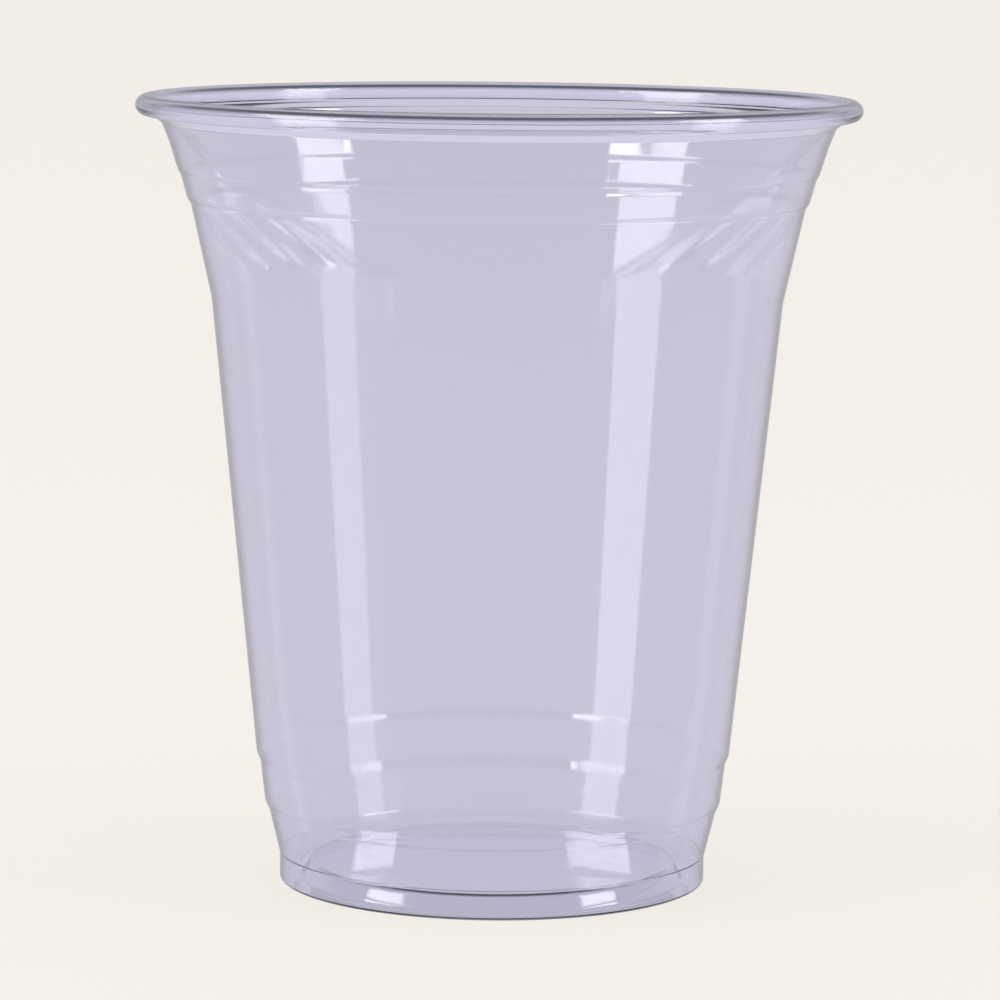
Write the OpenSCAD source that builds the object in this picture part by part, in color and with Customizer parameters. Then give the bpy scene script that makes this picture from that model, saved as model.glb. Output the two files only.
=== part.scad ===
// Clear plastic cold cup with a rolled rim, made from one sheet.
// Millimetres, +Z up, origin on the table under the middle of the foot.
// The near wall faces -Y; the ribs that keep stacked cups apart are on the far wall.

/* [Cup] */
// Height of the cup from the table to the top of the rim
cup_h = 107; // [100:1:130]
// Width over the rolled rim
rim_d = 98; // [94:1:102]
// Thickness of the sheet after forming
wall = 0.35; // [0.3:0.05:0.5]

/* [Rim] */
// Thickness of the rolled rim
bead_d = 2.9; // [2.6:0.1:3.2]
// Thickness of the sheet in the roll, where forming thins it less
rim_wall = 0.7; // [0.5:0.05:0.7]
// How far the rim stands out of the neck under it
lip_out = 3.7; // [3.5:0.1:4]
// How far the roll turns round, in degrees
curl_turn = 285; // [270:1:290]
// Depth of the part that a lid grips, below the rim
lid_zone_h = 10.8; // [9:0.1:12]
// Width of the wall at the shoulder under the lid zone
shoulder_d = 82.7; // [81:0.1:84]

/* [Ribs] */
// Height of the band that carries the ribs
band_h = 12.8; // [12:0.1:15]
// Width of the wall at the lower edge of the band
band_d = 77; // [75:0.1:78]
// Number of ribs in each of the two groups
rib_count = 4; // [2:1:4]
// Turn from one rib to the next, in degrees
rib_step = 8.6; // [7.5:0.1:9]
// Turn from the middle of the far wall to the first rib, in degrees
rib_start = 46.2; // [42:0.1:49]
// How far a rib stands out of the wall
rib_out = 0.35; // [0.3:0.05:0.6]

/* [Foot] */
// Width over the foot
foot_d = 58.2; // [55:0.1:60]
// Height of the straight band of the foot
foot_band_h = 3.8; // [3:0.1:4.4]
// Height of the raised floor over the table, at its underside
floor_rise = 2.3; // [1.5:0.1:3]
// Height of the crease above the foot
crease_z = 9.7; // [9:0.1:12]
// Height of the ring above the crease
ring_z = 16.7; // [15.5:0.1:19]

/* [Hidden] */
$fn = 120;

// Half the sheet, for the two faces beside the middle of the sheet
half = wall / 2;
// Segments in each rounded corner, and in the roll of the rim
arc_steps = 5;
curl_steps = 30;

// Rolled rim, on a neck that flares out to it
neck_drop = 3.6;
bead_r = bead_d / 2;
bead_mid_r = rim_d / 2 - bead_r;
bead_mid_z = cup_h - bead_r;
rim_half = rim_wall / 2;
roll_r = bead_r - rim_half;
roll_in_r = bead_mid_r - roll_r;
neck_r = rim_d / 2 - lip_out;
neck_z = cup_h - neck_drop;
flare_up = 1.1;
// Turn of the roll from which the sheet thins, and half its thickness at its edge
thin_from = 180;
edge_half = 0.08;

// Lid zone: two shallow steps between the shoulder and the neck
shoulder_z = neck_z - lid_zone_h;
shoulder_r = shoulder_d / 2;
step_up = 0.54;
step_out = 0.45;
lid_rise = neck_z - shoulder_z;
lid_run = neck_r - shoulder_r;
lid_low = [shoulder_r + 0.35 * lid_run, shoulder_z + 0.36 * lid_rise];
lid_high = [shoulder_r + 0.74 * lid_run, shoulder_z + 0.76 * lid_rise];

// Rib band
band_z = shoulder_z - band_h;
band_r = band_d / 2;
band_lean = atan((shoulder_r - band_r) / band_h);

// Lower rings, on a wall that runs straight from the ring to the band
foot_r = foot_d / 2 - half;
ledge_out = 0.12;
ledge_up = 0.22;
ring_r = foot_r + 3.25;
crease_r = foot_r + 1.5;
crease_out = 0.6;
crease_up = 1.4;
ring_out = 0.47;
ring_up = 1;
ring_bend = 2.2;

// Foot ring and raised floor
foot_round = 0.45;
foot_flat = 2.9;
floor_slope = 1.2;
floor_z = floor_rise + half;

// Ribs: each is a slim leaf that rises out of the wall and sinks back into it
rib_w = 2.6;
rib_margin = 1.4;
rib_turn = 19.5;
rib_mid_z = band_z + band_h / 2;
rib_reach = band_h / 2 - rib_margin;
rib_parts = 6;
rib_columns = 5;
rib_root = 0.04;
rib_depth = 1.2;

function unit(v) = v / norm(v);
function turned(v) = [-v[1], v[0]];
function cross2(a, b) = a[0] * b[1] - a[1] * b[0];

// Points of the rounded corner at b, between a and c; the third number of b is the radius
function corner(a, b, c) =
    let (
        p = [b[0], b[1]],
        u = unit([a[0], a[1]] - p),
        v = unit([c[0], c[1]] - p),
        open = acos(max(-1, min(1, u * v))),
        mid = p + unit(u + v) * b[2] / sin(open / 2),
        from = p + u * b[2] / tan(open / 2) - mid,
        way = cross2(u, v) > 0 ? -1 : 1,
        sweep = way * (180 - open)
    )
    b[2] == 0 ? [p] : [
        for (k = [0 : arc_steps])
            let (t = sweep * k / arc_steps)
            mid + [from[0] * cos(t) - from[1] * sin(t), from[0] * sin(t) + from[1] * cos(t)]
    ];

// The whole line with its corners rounded
function rounded(line) = [
    for (i = [0 : len(line) - 1])
        each (i == 0 || i == len(line) - 1)
            ? [[line[i][0], line[i][1]]]
            : corner(line[i - 1], line[i], line[i + 1])
];

// One face of the sheet: the left one for a side of 1, the right one for a side of -1
function face(line, halves, side) = [
    for (i = [0 : len(line) - 1])
        let (
            before = turned(unit(line[max(i, 1)] - line[max(i, 1) - 1])),
            j = min(i, len(line) - 2),
            after = turned(unit(line[j + 1] - line[j])),
            way = unit(before + after)
        )
        line[i] + way * side * halves[i] / (way * after)
];

// Middle of the sheet, from the middle of the floor up to the side of the rolled rim:
// radius, height, radius of the corner
sheet_line = [
    [0, floor_z, 0],
    [foot_r - foot_flat - floor_slope, floor_z, 0.8],
    [foot_r - foot_flat, half, 0.6],
    [foot_r, half, foot_round - half],
    [foot_r, foot_band_h, 0.3],
    [foot_r + ledge_out, foot_band_h + ledge_up, 0.3],
    [crease_r, crease_z, ring_bend],
    [crease_r + crease_out, crease_z + crease_up, ring_bend],
    [ring_r - ring_out, ring_z, ring_bend],
    [ring_r, ring_z + ring_up, ring_bend],
    [band_r, band_z, 3],
    [shoulder_r, shoulder_z, 1.4],
    [shoulder_r + step_out, shoulder_z + step_up, 1.4],
    [lid_low[0], lid_low[1], 1.8],
    [lid_low[0] + step_out * 0.8, lid_low[1] + step_up, 1.8],
    [lid_high[0], lid_high[1], 0.6],
    [neck_r, neck_z, 0.8],
    [roll_in_r, neck_z + flare_up, 0.6],
    [roll_in_r, bead_mid_z, 0]
];

// The roll goes on from the side of the rim, over its top, down and back in
curl = [
    for (k = [1 : curl_steps])
        let (t = 180 - curl_turn * k / curl_steps)
        [bead_mid_r, bead_mid_z] + roll_r * [cos(t), sin(t)]
];
wall_line = rounded(sheet_line);
sheet = concat(wall_line, curl);

// Half the thickness of the sheet: it grows from the neck to the roll, and thins to its edge under the roll
wall_halves = [
    for (p = wall_line)
        half + (rim_half - half) * max(0, min(1, (p[0] - neck_r) / (roll_in_r - neck_r)))
];
curl_halves = [
    for (k = [1 : curl_steps])
        let (t = curl_turn * k / curl_steps)
        rim_half + (edge_half - rim_half) * max(0, (t - thin_from) / (curl_turn - thin_from))
];
halves = concat(wall_halves, curl_halves);

// The sheet's section from the middle of the floor to the edge under the roll
module sheet_section() {
    inside = face(sheet, halves, 1);
    outside = face(sheet, halves, -1);
    polygon(concat(inside, [for (i = [len(outside) - 1 : -1 : 0]) outside[i]]));
}

// Middle of the sheet at a height in the band
function band_at(z) = band_r + (z - band_z) * (shoulder_r - band_r) / band_h;

// A point of a rib: u runs along it and v across it, both from -1 to 1
function rib_point(way, u, v, out) =
    let (
        z = rib_mid_z + u * rib_reach,
        r = band_at(z),
        run = r * rib_turn * PI / 360,
        across = v * rib_w / 2 / norm([run, rib_reach]),
        turn = way * (u * rib_turn / 2 - across * rib_reach / r * 180 / PI)
    )
    [
        (r + out) * cos(turn),
        (r + out) * sin(turn),
        z + across * run
    ];

// Height of a rib's back over the middle of the sheet
function rib_back(u, v) = (half + rib_out * (1 - pow(u, 4)) + rib_root) * (1 - v * v) - rib_root;

// A rib at a turn of zero, with its back lowered and its underside at a given depth
module rib(way, lowered, depth) {
    row = rib_columns + 2;
    points = [
        for (i = [0 : rib_parts])
            let (u = 2 * i / rib_parts - 1)
            each concat(
                [
                    for (j = [0 : rib_columns - 1])
                        let (v = 2 * j / (rib_columns - 1) - 1)
                        rib_point(way, u, v, rib_back(u, v) - lowered)
                ],
                [rib_point(way, u, 1, -depth), rib_point(way, u, -1, -depth)]
            )
    ];
    sides = [
        for (i = [0 : rib_parts - 1], j = [0 : row - 1])
            let (a = i * row + j, b = i * row + (j + 1) % row)
            each way > 0
                ? [[a, b, a + row], [b, b + row, a + row]]
                : [[b, a, a + row], [b + row, b, a + row]]
    ];
    near = [for (j = [0 : row - 1]) way > 0 ? row - 1 - j : j];
    far = [for (j = [0 : row - 1]) rib_parts * row + (way > 0 ? j : row - 1 - j)];
    ends = [
        for (j = [1 : row - 2])
            each [[near[0], near[j], near[j + 1]], [far[0], far[j], far[j + 1]]]
    ];
    polyhedron(points, concat(sides, ends));
}

// All the ribs, in two groups that mirror each other about the middle of the far wall
module ribs(lowered, depth) {
    for (way = [-1, 1], k = [0 : rib_count - 1])
        rotate([0, 0, 90 + way * (rib_start + k * rib_step)])
            rib(way, lowered, depth);
}

module cup() {
    color("lavender")
        difference() {
            union() {
                rotate_extrude()
                    sheet_section();
                ribs(0, 3 * rib_root);
            }
            ribs(wall, rib_depth);
        }
}

cup();
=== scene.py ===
"""A clear plastic cold-drink cup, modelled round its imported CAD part."""

import logging
import math
from dataclasses import dataclass, field
from enum import Enum

import bpy
from mathutils import Matrix, Vector


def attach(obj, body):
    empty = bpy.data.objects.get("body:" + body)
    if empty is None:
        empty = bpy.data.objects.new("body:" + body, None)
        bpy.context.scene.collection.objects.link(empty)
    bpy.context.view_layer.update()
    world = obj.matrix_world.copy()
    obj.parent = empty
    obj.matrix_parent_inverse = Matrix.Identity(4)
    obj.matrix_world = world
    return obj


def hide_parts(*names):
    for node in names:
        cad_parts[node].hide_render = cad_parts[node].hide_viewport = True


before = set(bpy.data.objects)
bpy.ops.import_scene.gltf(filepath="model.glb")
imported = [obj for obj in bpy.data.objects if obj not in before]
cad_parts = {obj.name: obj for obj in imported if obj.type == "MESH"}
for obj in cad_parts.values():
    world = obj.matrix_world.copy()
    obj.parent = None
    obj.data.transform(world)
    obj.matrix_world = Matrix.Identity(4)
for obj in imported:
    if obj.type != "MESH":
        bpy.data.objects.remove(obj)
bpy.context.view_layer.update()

logging.basicConfig(level=logging.INFO, format="%(message)s")
log = logging.getLogger("cup")

MM = 0.001
Point = tuple[float, float]
Colour = tuple[float, float, float]
Tree = bpy.types.NodeTree
Socket = bpy.types.NodeSocket


class Side(Enum):
    """Which side of the cup a lamp stands on, as the camera sees it."""

    LEFT = -1
    RIGHT = 1


@dataclass(frozen=True)
class Corner:
    """One corner of the sheet's line, in millimetres.

    Attributes:
        r: Its radius from the cup's axis.
        z: Its height over the table.
        bend: Radius of its rounding.
    """

    r: float
    z: float
    bend: float = 0.0

    @property
    def at(self) -> Vector:
        """The corner as a flat point."""
        return Vector((self.r, self.z))


@dataclass(frozen=True)
class CupSize:
    """The sizes of the cup in millimetres and degrees, with the names and values of the CAD part."""

    height: float = 107.0
    rim: float = 98.0
    wall: float = 0.35
    bead: float = 2.9
    rim_wall: float = 0.7
    lip_out: float = 3.7
    neck_drop: float = 3.6
    flare_up: float = 1.1
    curl_turn: float = 285.0
    thin_from: float = 180.0
    edge_wall: float = 0.16
    lid_zone: float = 10.8
    shoulder: float = 82.7
    step_out: float = 0.45
    step_up: float = 0.54
    low_out: float = 0.36
    low_step: Point = (0.35, 0.36)
    high_step: Point = (0.74, 0.76)
    band_height: float = 12.8
    band: float = 77.0
    foot: float = 58.2
    foot_round: float = 0.45
    foot_flat: float = 2.9
    floor_slope: float = 1.2
    floor_rise: float = 2.3
    foot_band: float = 3.8
    ledge_out: float = 0.12
    ledge_up: float = 0.22
    crease_in: float = 1.5
    crease_z: float = 9.7
    crease_out: float = 0.6
    crease_up: float = 1.4
    ring_in: float = 3.25
    ring_z: float = 16.7
    ring_out: float = 0.47
    ring_up: float = 1.0
    ring_bend: float = 2.2
    slack: float = 0.05

    @property
    def half(self) -> float:
        """Half the sheet."""
        return self.wall / 2

    @property
    def bead_r(self) -> float:
        """Radius of the roll's section."""
        return self.bead / 2

    @property
    def bead_mid(self) -> Point:
        """Radius and height of the middle of the roll."""
        return self.rim / 2 - self.bead_r, self.height - self.bead_r

    @property
    def roll_r(self) -> float:
        """Radius of the middle of the sheet round the middle of the roll."""
        return (self.bead - self.rim_wall) / 2

    @property
    def roll_in(self) -> float:
        """Radius at which the sheet turns up into the roll."""
        return self.bead_mid[0] - self.roll_r

    @property
    def neck(self) -> Point:
        """Radius and height where the wall begins to flare out to the roll."""
        return self.rim / 2 - self.lip_out, self.height - self.neck_drop

    @property
    def shoulder_z(self) -> float:
        """Height of the shoulder."""
        return self.neck[1] - self.lid_zone

    @property
    def band_z(self) -> float:
        """Height of the lower edge of the rib band."""
        return self.shoulder_z - self.band_height

    def thickness(self, r: float, z: float) -> float:
        """Thickness of the sheet, which grows from the neck to the roll and thins to its edge under the roll.

        Args:
            r: Radius of the point in millimetres.
            z: Height of the point in millimetres.

        Returns:
            The thickness in millimetres.
        """
        mid_r, mid_z = self.bead_mid
        turn = (180 - math.degrees(math.atan2(z - mid_z, r - mid_r))) % 360
        if turn > self.thin_from and self.in_curl(r, z):
            share = (turn - self.thin_from) / (self.curl_turn - self.thin_from)
            return self.rim_wall + (self.edge_wall - self.rim_wall) * min(1.0, share)
        share = (r - self.neck[0]) / (self.roll_in - self.neck[0])
        return self.wall + (self.rim_wall - self.wall) * max(0.0, min(1.0, share))

    def in_curl(self, r: float, z: float) -> bool:
        """True on the rolled part of the sheet, past its upright side."""
        mid_r, mid_z = self.bead_mid
        off_roll = abs(math.hypot(r - mid_r, z - mid_z) - self.roll_r)
        return r > self.roll_in + self.slack / 2 and off_roll < self.slack

    def band_at(self, z: float) -> float:
        """Radius of the middle of the sheet at a height in the rib band."""
        share = (z - self.band_z) / self.band_height
        return self.band / 2 + share * (self.shoulder - self.band) / 2


@dataclass(frozen=True)
class SheetLine:
    """The line of the middle of the sheet, from the middle of the floor to its edge under the roll."""

    size: CupSize
    arc_steps: int = 5
    curl_steps: int = 30
    row_step: float = 0.5
    long_rows: int = 8
    long_from: float = 20.0
    band_spare: float = 0.5
    band_gap: float = 2.0

    def corners(self) -> list[Corner]:
        """The corners of the line, as in the CAD part."""
        s = self.size
        floor_z = s.floor_rise + s.half
        foot_r = s.foot / 2 - s.half
        crease_r, ring_r = foot_r + s.crease_in, foot_r + s.ring_in
        shoulder_r = s.shoulder / 2
        neck_r, neck_z = s.neck
        run, rise = neck_r - shoulder_r, neck_z - s.shoulder_z
        low_r, low_z = shoulder_r + s.low_step[0] * run, s.shoulder_z + s.low_step[1] * rise
        high_r, high_z = shoulder_r + s.high_step[0] * run, s.shoulder_z + s.high_step[1] * rise
        return [
            Corner(0.0, floor_z),
            Corner(foot_r - s.foot_flat - s.floor_slope, floor_z, 0.8),
            Corner(foot_r - s.foot_flat, s.half, 0.6),
            Corner(foot_r, s.half, s.foot_round - s.half),
            Corner(foot_r, s.foot_band, 0.3),
            Corner(foot_r + s.ledge_out, s.foot_band + s.ledge_up, 0.3),
            Corner(crease_r, s.crease_z, s.ring_bend),
            Corner(crease_r + s.crease_out, s.crease_z + s.crease_up, s.ring_bend),
            Corner(ring_r - s.ring_out, s.ring_z, s.ring_bend),
            Corner(ring_r, s.ring_z + s.ring_up, s.ring_bend),
            Corner(s.band / 2, s.band_z, 3.0),
            Corner(shoulder_r, s.shoulder_z, 1.4),
            Corner(shoulder_r + s.step_out, s.shoulder_z + s.step_up, 1.4),
            Corner(low_r, low_z, 1.8),
            Corner(low_r + s.low_out, low_z + s.step_up, 1.8),
            Corner(high_r, high_z, 0.6),
            Corner(neck_r, neck_z, 0.8),
            Corner(s.roll_in, neck_z + s.flare_up, 0.6),
            Corner(s.roll_in, s.bead_mid[1]),
        ]

    def bent(self, a: Corner, b: Corner, c: Corner) -> list[Vector]:
        """The points of the rounded corner at b.

        Args:
            a: The corner before it.
            b: The corner itself.
            c: The corner after it.

        Returns:
            Flat points from one tangent point to the other, in millimetres.
        """
        u, v = (a.at - b.at).normalized(), (c.at - b.at).normalized()
        open_angle = u.angle(v)
        mid = b.at + (u + v).normalized() * b.bend / math.sin(open_angle / 2)
        start = b.at + u * b.bend / math.tan(open_angle / 2) - mid
        way = -1 if u.x * v.y - u.y * v.x > 0 else 1
        sweep = way * (math.pi - open_angle)
        steps = range(self.arc_steps + 1)
        return [mid + Matrix.Rotation(sweep * k / self.arc_steps, 2) @ start for k in steps]

    def points(self) -> list[Vector]:
        """The whole line as flat points in millimetres, with more rows where the ribs are."""
        line = self.corners()
        points = [line[0].at]
        for a, b, c in zip(line, line[1:], line[2:]):
            points += self.bent(a, b, c)
        points.append(line[-1].at)
        mid = Vector(self.size.bead_mid)
        for k in range(1, self.curl_steps + 1):
            t = math.radians(180 - self.size.curl_turn * k / self.curl_steps)
            points.append(mid + self.size.roll_r * Vector((math.cos(t), math.sin(t))))
        return self.with_rows(points)

    def with_rows(self, points: list[Vector]) -> list[Vector]:
        """The points with extra ones along the long straight stretches."""
        out = [points[0]]
        for a, b in zip(points, points[1:]):
            length = (b - a).length
            over_low = a.y > self.size.band_z - self.band_spare
            under_high = b.y < self.size.shoulder_z + self.band_spare
            rows = 1
            if length > self.long_from or a.x == 0:
                rows = self.long_rows
            elif over_low and under_high and length > self.band_gap:
                rows = round(length / self.row_step)
            out += [a.lerp(b, k / rows) for k in range(1, rows + 1)]
        return out


@dataclass(frozen=True)
class RibField:
    """How far the slanted ribs push the sheet out, by angle and height, in degrees and millimetres."""

    size: CupSize
    count: int = 4
    step: float = 8.6
    start: float = 46.2
    turn: float = 19.5
    width: float = 2.6
    out: float = 0.35
    margin: float = 1.4
    spare_turn: float = 3.0
    spare_z: float = 0.6
    tip: float = 0.01

    @property
    def mid_z(self) -> float:
        """Height of the middle of the ribs."""
        return self.size.band_z + self.size.band_height / 2

    @property
    def reach(self) -> float:
        """Half the height of the ribs."""
        return self.size.band_height / 2 - self.margin

    def covers(self, turn: float, z: float) -> bool:
        """True where a rib may lie.

        Args:
            turn: Degrees from the middle of the far wall, either way.
            z: Height in millimetres.

        Returns:
            Whether the point is in the part of the band that the ribs take.
        """
        spare = self.turn / 2 + self.spare_turn
        low = self.start - spare
        high = self.start + self.step * (self.count - 1) + spare
        return low < turn < high and abs(z - self.mid_z) < self.reach + self.spare_z

    def push(self, turn: float, z: float) -> float:
        """Share of the ribs' full height at a point.

        Args:
            turn: Degrees from the middle of the far wall, either way.
            z: Height in millimetres.

        Returns:
            0 on the plain wall, up to 1 on the back of a rib.
        """
        r = self.size.band_at(z)
        run = r * math.radians(self.turn) / 2
        length = math.hypot(run, self.reach)
        best = 0.0
        for k in range(self.count):
            east = math.radians(turn - self.start - k * self.step) * r
            north = z - self.mid_z
            along = (east * run + north * self.reach) / length / length
            across = (north * run - east * self.reach) / length / (self.width / 2)
            leaf = 1 - along**4
            if leaf > self.tip and across * across < leaf:
                best = max(best, leaf * (1 - across * across / leaf) ** 2)
        return best


def feed(tree: Tree, value: Colour | Socket, socket: Socket) -> None:
    """Sets a colour on a socket, or links another socket to it."""
    if isinstance(value, tuple):
        socket.default_value = (*value, 1)
    else:
        tree.links.new(value, socket)


def mapped(tree: Tree, value: Socket, span: Point) -> Socket:
    """A share that grows from 0 to 1 while a value crosses a span."""
    ramp = tree.nodes.new("ShaderNodeMapRange")
    ramp.inputs["From Min"].default_value, ramp.inputs["From Max"].default_value = span
    tree.links.new(value, ramp.inputs["Value"])
    return ramp.outputs["Result"]


def mixed(tree: Tree, low: Colour | Socket, high: Colour | Socket, share: Socket) -> Socket:
    """Mixes one colour over another by a share.

    Args:
        tree: The node tree that gets the mix.
        low: The colour at a share of 0.
        high: The colour at a share of 1.
        share: How much of the second colour shows.

    Returns:
        The socket with the mixed colour.
    """
    mix = tree.nodes.new("ShaderNodeMix")
    mix.data_type = "RGBA"
    feed(tree, low, mix.inputs["A"])
    feed(tree, high, mix.inputs["B"])
    tree.links.new(share, mix.inputs["Factor"])
    return mix.outputs["Result"]


def ray_colour_group() -> Tree:
    """The shared group that picks a colour by what a ray has met, made when it is first asked for."""
    group = bpy.data.node_groups.get("ray_colour")
    if group is None:
        group = bpy.data.node_groups.new("ray_colour", "ShaderNodeTree")
        for name in ("Seen", "Mirrored", "Through"):
            group.interface.new_socket(name, in_out="INPUT", socket_type="NodeSocketColor")
        for name in ("Glossy", "Transmitted"):
            group.interface.new_socket(name, in_out="INPUT", socket_type="NodeSocketFloat")
        group.interface.new_socket("Color", in_out="OUTPUT", socket_type="NodeSocketColor")
        given = group.nodes.new("NodeGroupInput").outputs
        result = group.nodes.new("NodeGroupOutput").inputs
        colour = mixed(group, given["Seen"], given["Mirrored"], given["Glossy"])
        colour = mixed(group, colour, given["Through"], given["Transmitted"])
        group.links.new(colour, result["Color"])
    return group


def ray_colour(
    tree: Tree, rays: bpy.types.Node, seen: Colour, mirrored: Colour | Socket, through: Colour | Socket
) -> Socket:
    """Adds the shared group to a tree.

    Args:
        tree: The node tree that gets the group.
        rays: The tree's own Light Path node.
        seen: The colour that the camera sees with nothing between.
        mirrored: The colour in a mirroring face.
        through: The colour for rays that have passed the clear plastic.

    Returns:
        The socket with the picked colour.
    """
    pick = tree.nodes.new("ShaderNodeGroup")
    pick.node_tree = ray_colour_group()
    for name, value in (("Seen", seen), ("Mirrored", mirrored), ("Through", through)):
        feed(tree, value, pick.inputs[name])
    tree.links.new(rays.outputs["Is Glossy Ray"], pick.inputs["Glossy"])
    tree.links.new(rays.outputs["Is Transmission Ray"], pick.inputs["Transmitted"])
    return pick.outputs["Color"]


@dataclass(frozen=True)
class ClearPlastic:
    """The cup's clear sheet, which passes light and mirrors what stands round it.

    It has painted shade: it is darker where it is seen edge on, partly for the longer path through the tinted
    sheet, and darker at the top of the roll, partly for the thicker sheet there.
    """

    name: str = "clear_plastic"
    colour: Colour = (0.94, 0.935, 0.975)
    # Painted shade: the sheet's colour darkens where it is seen edge on, partly for the longer path through
    # the tinted sheet
    edge_shade_colour: Colour = (0.56, 0.555, 0.56)
    edge_shade_span: Point = (0.80, 0.87)
    # Painted shade at the top of the roll, which also stands for the thicker sheet there
    rim_shade_colour: Colour = (0.70, 0.69, 0.73)
    rim_shade_span: Point = (0.1058, 0.1064)
    roughness: float = 0.04
    ior: float = 1.5
    clearness: float = 1.0

    def material(self) -> bpy.types.Material:
        """The finish as a node material."""
        mat = bpy.data.materials.new(self.name)
        mat.use_nodes = True
        tree = mat.node_tree
        shader = tree.nodes["Principled BSDF"]
        view = tree.nodes.new("ShaderNodeLayerWeight")
        place = tree.nodes.new("ShaderNodeTexCoord")
        parts = tree.nodes.new("ShaderNodeSeparateXYZ")
        tree.links.new(place.outputs["Object"], parts.inputs["Vector"])
        # Painted shade where the sheet is seen edge on
        edge = mapped(tree, view.outputs["Facing"], self.edge_shade_span)
        # Painted shade at the top of the roll
        top = mapped(tree, parts.outputs["Z"], self.rim_shade_span)
        tint_and_shade = mixed(tree, self.colour, self.edge_shade_colour, edge)
        tint_and_shade = mixed(tree, tint_and_shade, self.rim_shade_colour, top)
        tree.links.new(tint_and_shade, shader.inputs["Base Color"])
        shader.inputs["Roughness"].default_value = self.roughness
        shader.inputs["IOR"].default_value = self.ior
        shader.inputs["Transmission Weight"].default_value = self.clearness
        return mat


@dataclass(frozen=True)
class StudioPaper:
    """The pale paper of the floor and the surround.

    Seen through the cup it keeps the lavender of the photo's first background.
    """

    name: str = "floor_paper"
    seen: Colour = (0.903, 0.863, 0.818)
    through: Colour = (0.603, 0.593, 0.703)
    mirrored: Colour = (0.50, 0.49, 0.53)
    lit_share: float = 0.12

    def material(self) -> bpy.types.Material:
        """The finish as a node material: mostly a plain glow, with a share of lit paper for the shadow."""
        mat = bpy.data.materials.new(self.name)
        mat.use_nodes = True
        tree = mat.node_tree
        tree.nodes.clear()
        out = tree.nodes.new("ShaderNodeOutputMaterial")
        rays = tree.nodes.new("ShaderNodeLightPath")
        glow = tree.nodes.new("ShaderNodeEmission")
        paper = tree.nodes.new("ShaderNodeBsdfDiffuse")
        blend = tree.nodes.new("ShaderNodeMixShader")
        paper.inputs["Color"].default_value = (*self.seen, 1)
        blend.inputs["Fac"].default_value = self.lit_share
        colour = ray_colour(tree, rays, self.seen, self.mirrored, self.through)
        tree.links.new(colour, glow.inputs["Color"])
        tree.links.new(glow.outputs["Emission"], blend.inputs[1])
        tree.links.new(paper.outputs["BSDF"], blend.inputs[2])
        tree.links.new(blend.outputs["Shader"], out.inputs["Surface"])
        return mat


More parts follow.
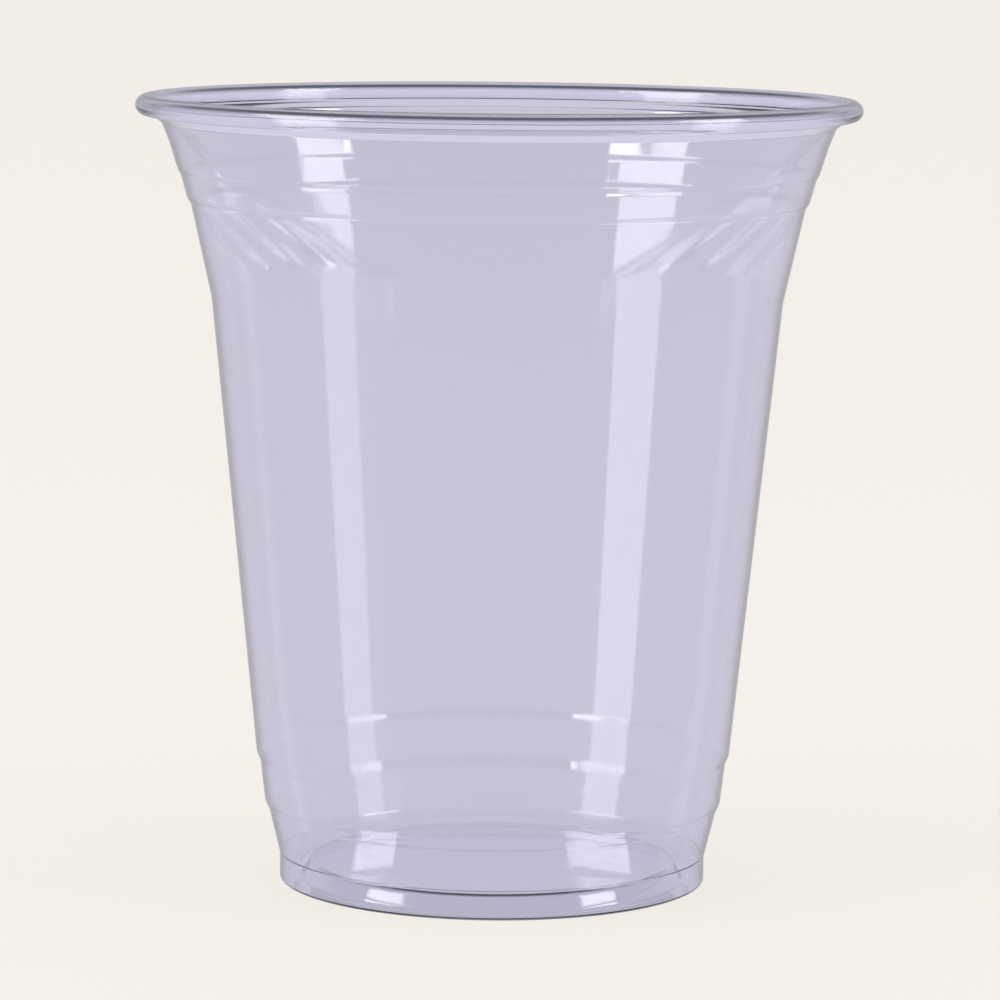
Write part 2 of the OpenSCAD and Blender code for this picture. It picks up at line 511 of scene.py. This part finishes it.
@dataclass
class Cup:
    """The whole cup, formed from one sheet."""

    size: CupSize = field(default_factory=CupSize)
    plastic: ClearPlastic = field(default_factory=ClearPlastic)
    turns: int = 216
    rib_cuts: int = 2
    rib_softening: int = 6
    rib_softness: float = 0.5
    merge_gap: float = 0.004
    smooth_under: float = 50.0

    def drawn_line(self) -> bpy.types.Object:
        """The sheet's line, drawn point after point from a single vertex."""
        points = [Vector((p.x * MM, 0, p.y * MM)) for p in SheetLine(self.size).points()]
        bpy.ops.mesh.primitive_plane_add(size=0.01)
        obj = bpy.context.object
        obj.name = "cup_sheet"
        bpy.ops.object.mode_set(mode="EDIT")
        bpy.ops.mesh.select_all(action="SELECT")
        bpy.ops.mesh.merge(type="CENTER")
        bpy.ops.transform.translate(value=points[0])
        for a, b in zip(points, points[1:]):
            bpy.ops.mesh.extrude_region_move(TRANSFORM_OT_translate={"value": b - a})
        bpy.ops.object.mode_set(mode="OBJECT")
        return obj

    def spun(self, obj: bpy.types.Object) -> None:
        """Turns the drawn line once round the cup's axis."""
        bpy.ops.object.mode_set(mode="EDIT")
        bpy.ops.mesh.select_all(action="SELECT")
        bpy.ops.mesh.spin(steps=self.turns, angle=2 * math.pi, center=(0, 0, 0), axis=(0, 0, 1))
        bpy.ops.mesh.select_all(action="SELECT")
        bpy.ops.mesh.remove_doubles(threshold=self.merge_gap * MM)
        bpy.ops.mesh.normals_make_consistent(inside=False)
        bpy.ops.object.mode_set(mode="OBJECT")
        side = max(obj.data.polygons, key=lambda f: f.area)
        if side.normal.dot(Vector((side.center.x, side.center.y, 0))) < 0:
            bpy.ops.object.mode_set(mode="EDIT")
            bpy.ops.mesh.select_all(action="SELECT")
            bpy.ops.mesh.flip_normals()
            bpy.ops.object.mode_set(mode="OBJECT")

    @staticmethod
    def far_turn(p: Vector) -> float:
        """Degrees from the middle of the far wall to a point, either way."""
        return abs(math.degrees(math.atan2(p.x, p.y)))

    def pressed_ribs(self, obj: bpy.types.Object) -> None:
        """Pushes the slanted ribs out of the sheet."""
        ribs = RibField(self.size)
        for part in (*obj.data.vertices, *obj.data.edges):
            part.select = False
        for face in obj.data.polygons:
            at = face.center / MM
            face.select = ribs.covers(self.far_turn(at), at.z)
        bpy.ops.object.mode_set(mode="EDIT")
        bpy.ops.mesh.select_mode(type="FACE")
        bpy.ops.mesh.subdivide(number_cuts=self.rib_cuts)
        bpy.ops.object.mode_set(mode="OBJECT")
        group = obj.vertex_groups.new(name="ribs")
        for v in obj.data.vertices:
            at = v.co / MM
            turn = self.far_turn(at)
            if ribs.covers(turn, at.z):
                group.add([v.index], ribs.push(turn, at.z), "REPLACE")
        bpy.ops.object.modifier_add(type="DISPLACE")
        push = obj.modifiers[-1]
        push.vertex_group = group.name
        push.mid_level = 0
        push.strength = ribs.out * MM
        bpy.ops.object.modifier_apply(modifier=push.name)
        bpy.ops.object.mode_set(mode="EDIT")
        bpy.ops.mesh.vertices_smooth(factor=self.rib_softness, repeat=self.rib_softening)
        bpy.ops.object.mode_set(mode="OBJECT")

    def thickened(self, obj: bpy.types.Object) -> None:
        """Gives the sheet its thickness, half to each side, thicker in the roll."""
        group = obj.vertex_groups.new(name="thickness")
        for v in obj.data.vertices:
            thick = self.size.thickness(v.co.to_2d().length / MM, v.co.z / MM)
            group.add([v.index], thick / self.size.rim_wall, "REPLACE")
        bpy.ops.object.modifier_add(type="SOLIDIFY")
        solid = obj.modifiers[-1]
        solid.thickness = self.size.rim_wall * MM
        solid.vertex_group = group.name
        solid.thickness_vertex_group = 0.0
        solid.offset = 0
        solid.use_even_offset = True
        bpy.ops.object.modifier_apply(modifier=solid.name)
        bpy.ops.object.shade_smooth_by_angle(angle=math.radians(self.smooth_under))

    def build(self) -> bpy.types.Object:
        """Makes the cup and ties it to the CAD part.

        Returns:
            The finished piece.
        """
        obj = self.drawn_line()
        self.spun(obj)
        self.pressed_ribs(obj)
        self.thickened(obj)
        obj.data.materials.append(self.plastic.material())
        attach(obj, "root")
        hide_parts("cup")
        log.info("cup sheet: %d faces", len(obj.data.polygons))
        return obj


@dataclass(frozen=True)
class SoftBox:
    """One upright soft lamp that faces the cup.

    Attributes:
        side: The side of the cup that it stands on.
        turn: Degrees round the cup from the camera to its middle.
        width: How wide it looks from the cup, in degrees.
        low: Height of its lower edge in metres.
        high: Height of its upper edge in metres.
        light: How bright its face is, where white paper is 1.
    """

    side: Side
    turn: float
    width: float
    low: float
    high: float
    light: float

    def stand(self, name: str, far: float) -> None:
        """Puts the lamp on the stage.

        Args:
            name: The lamp's name.
            far: Its distance from the cup's axis in metres.
        """
        data = bpy.data.lights.new(name, "AREA")
        data.shape = "RECTANGLE"
        data.size = 2 * far * math.tan(math.radians(self.width / 2))
        data.size_y = self.high - self.low
        data.energy = self.light * math.pi * data.size * data.size_y
        lamp = bpy.data.objects.new(name, data)
        bpy.context.collection.objects.link(lamp)
        turn = math.radians(self.side.value * self.turn)
        lamp.location = (far * math.sin(turn), -far * math.cos(turn), (self.low + self.high) / 2)
        lamp.rotation_euler = (math.pi / 2, 0, turn)


@dataclass
class Studio:
    """The floor, the lamps and the camera, in metres and degrees."""

    distance: float = 0.650
    camera_z: float = 0.1363
    aim_z: float = 0.0535
    sensor: float = 36.0
    lens_in_frames: float = 4.81
    roll: float = 0.58
    shift: Point = (0.0045, -0.0099)
    floor_wide: float = 60.0
    lamp_far: float = 1.2
    boxes: tuple[SoftBox, ...] = (
        SoftBox(Side.LEFT, 63.3, 21.5, 0.005, 0.445, 2.3),
        SoftBox(Side.LEFT, 64.0, 26.0, 0.450, 0.595, 3.6),
        SoftBox(Side.LEFT, 65.0, 29.0, 0.600, 0.760, 4.5),
        SoftBox(Side.LEFT, 68.0, 44.0, 0.790, 1.020, 7.5),
        SoftBox(Side.RIGHT, 72.5, 16.5, 0.005, 0.445, 1.75),
        SoftBox(Side.RIGHT, 75.0, 22.0, 0.450, 0.595, 3.4),
        SoftBox(Side.RIGHT, 76.0, 20.0, 0.600, 0.760, 4.5),
        SoftBox(Side.RIGHT, 76.0, 28.0, 0.765, 1.020, 7.5),
    )
    paper: StudioPaper = field(default_factory=StudioPaper)
    through_sky: Colour = (0.70, 0.69, 0.81)
    roof: Colour = (0.14, 0.14, 0.17)
    mirror_dark: Point = (38.0, 55.0)
    through_dark: Point = (16.0, 30.0)

    def floor(self) -> None:
        """A wide pale floor that keeps a soft shadow."""
        bpy.ops.mesh.primitive_plane_add(size=self.floor_wide)
        floor = bpy.context.object
        floor.name = "floor"
        floor.data.materials.append(self.paper.material())

    @staticmethod
    def rising(low: float, high: float) -> Point:
        """The span of upward directions between two angles over the floor."""
        return math.sin(math.radians(low)), math.sin(math.radians(high))

    def surround(self) -> None:
        """The world round the cup, pale where it is seen, greyer where it is mirrored, and dark high up."""
        world = bpy.data.worlds.new("surround")
        bpy.context.scene.world = world
        world.use_nodes = True
        # The surround is plain, so sampling it like a lamp would only cost time
        world.cycles.sampling_method = "NONE"
        tree = world.node_tree
        tree.nodes.clear()
        place = tree.nodes.new("ShaderNodeTexCoord")
        parts = tree.nodes.new("ShaderNodeSeparateXYZ")
        rays = tree.nodes.new("ShaderNodeLightPath")
        back = tree.nodes.new("ShaderNodeBackground")
        out = tree.nodes.new("ShaderNodeOutputWorld")
        tree.links.new(place.outputs["Generated"], parts.inputs["Vector"])
        mirror_roof = mapped(tree, parts.outputs["Z"], self.rising(*self.mirror_dark))
        through_roof = mapped(tree, parts.outputs["Z"], self.rising(*self.through_dark))
        mirrored = mixed(tree, self.paper.mirrored, self.roof, mirror_roof)
        through = mixed(tree, self.through_sky, self.roof, through_roof)
        colour = ray_colour(tree, rays, self.paper.seen, mirrored, through)
        colour = mixed(tree, colour, self.paper.seen, rays.outputs["Is Camera Ray"])
        tree.links.new(colour, back.inputs["Color"])
        tree.links.new(back.outputs["Background"], out.inputs["Surface"])

    def lamps(self) -> None:
        """Tall soft boxes on both sides, brighter and wider towards the top."""
        for k, box in enumerate(self.boxes):
            box.stand(f"box_{k}", self.lamp_far)

    def camera(self) -> None:
        """The camera at the photo's own place, a little above the rim."""
        data = bpy.data.cameras.new("camera")
        data.sensor_width = self.sensor
        data.lens = self.sensor * self.lens_in_frames
        data.shift_x, data.shift_y = self.shift
        camera = bpy.data.objects.new("camera", data)
        bpy.context.collection.objects.link(camera)
        camera.location = (0, -self.distance, self.camera_z)
        fall = math.atan2(self.camera_z - self.aim_z, self.distance)
        tilt = Matrix.Rotation(math.pi / 2 - fall, 3, "X")
        roll = Matrix.Rotation(math.radians(self.roll), 3, "Z")
        camera.rotation_euler = (tilt @ roll).to_euler()
        bpy.context.scene.camera = camera

    def build(self) -> None:
        """Sets the stage."""
        self.floor()
        self.surround()
        self.lamps()
        self.camera()
        bpy.context.scene.view_settings.view_transform = "Standard"
        log.info("studio set")


def main() -> None:
    """Builds the cup and its studio."""
    Cup().build()
    Studio().build()


if __name__ == "__main__":
    main()
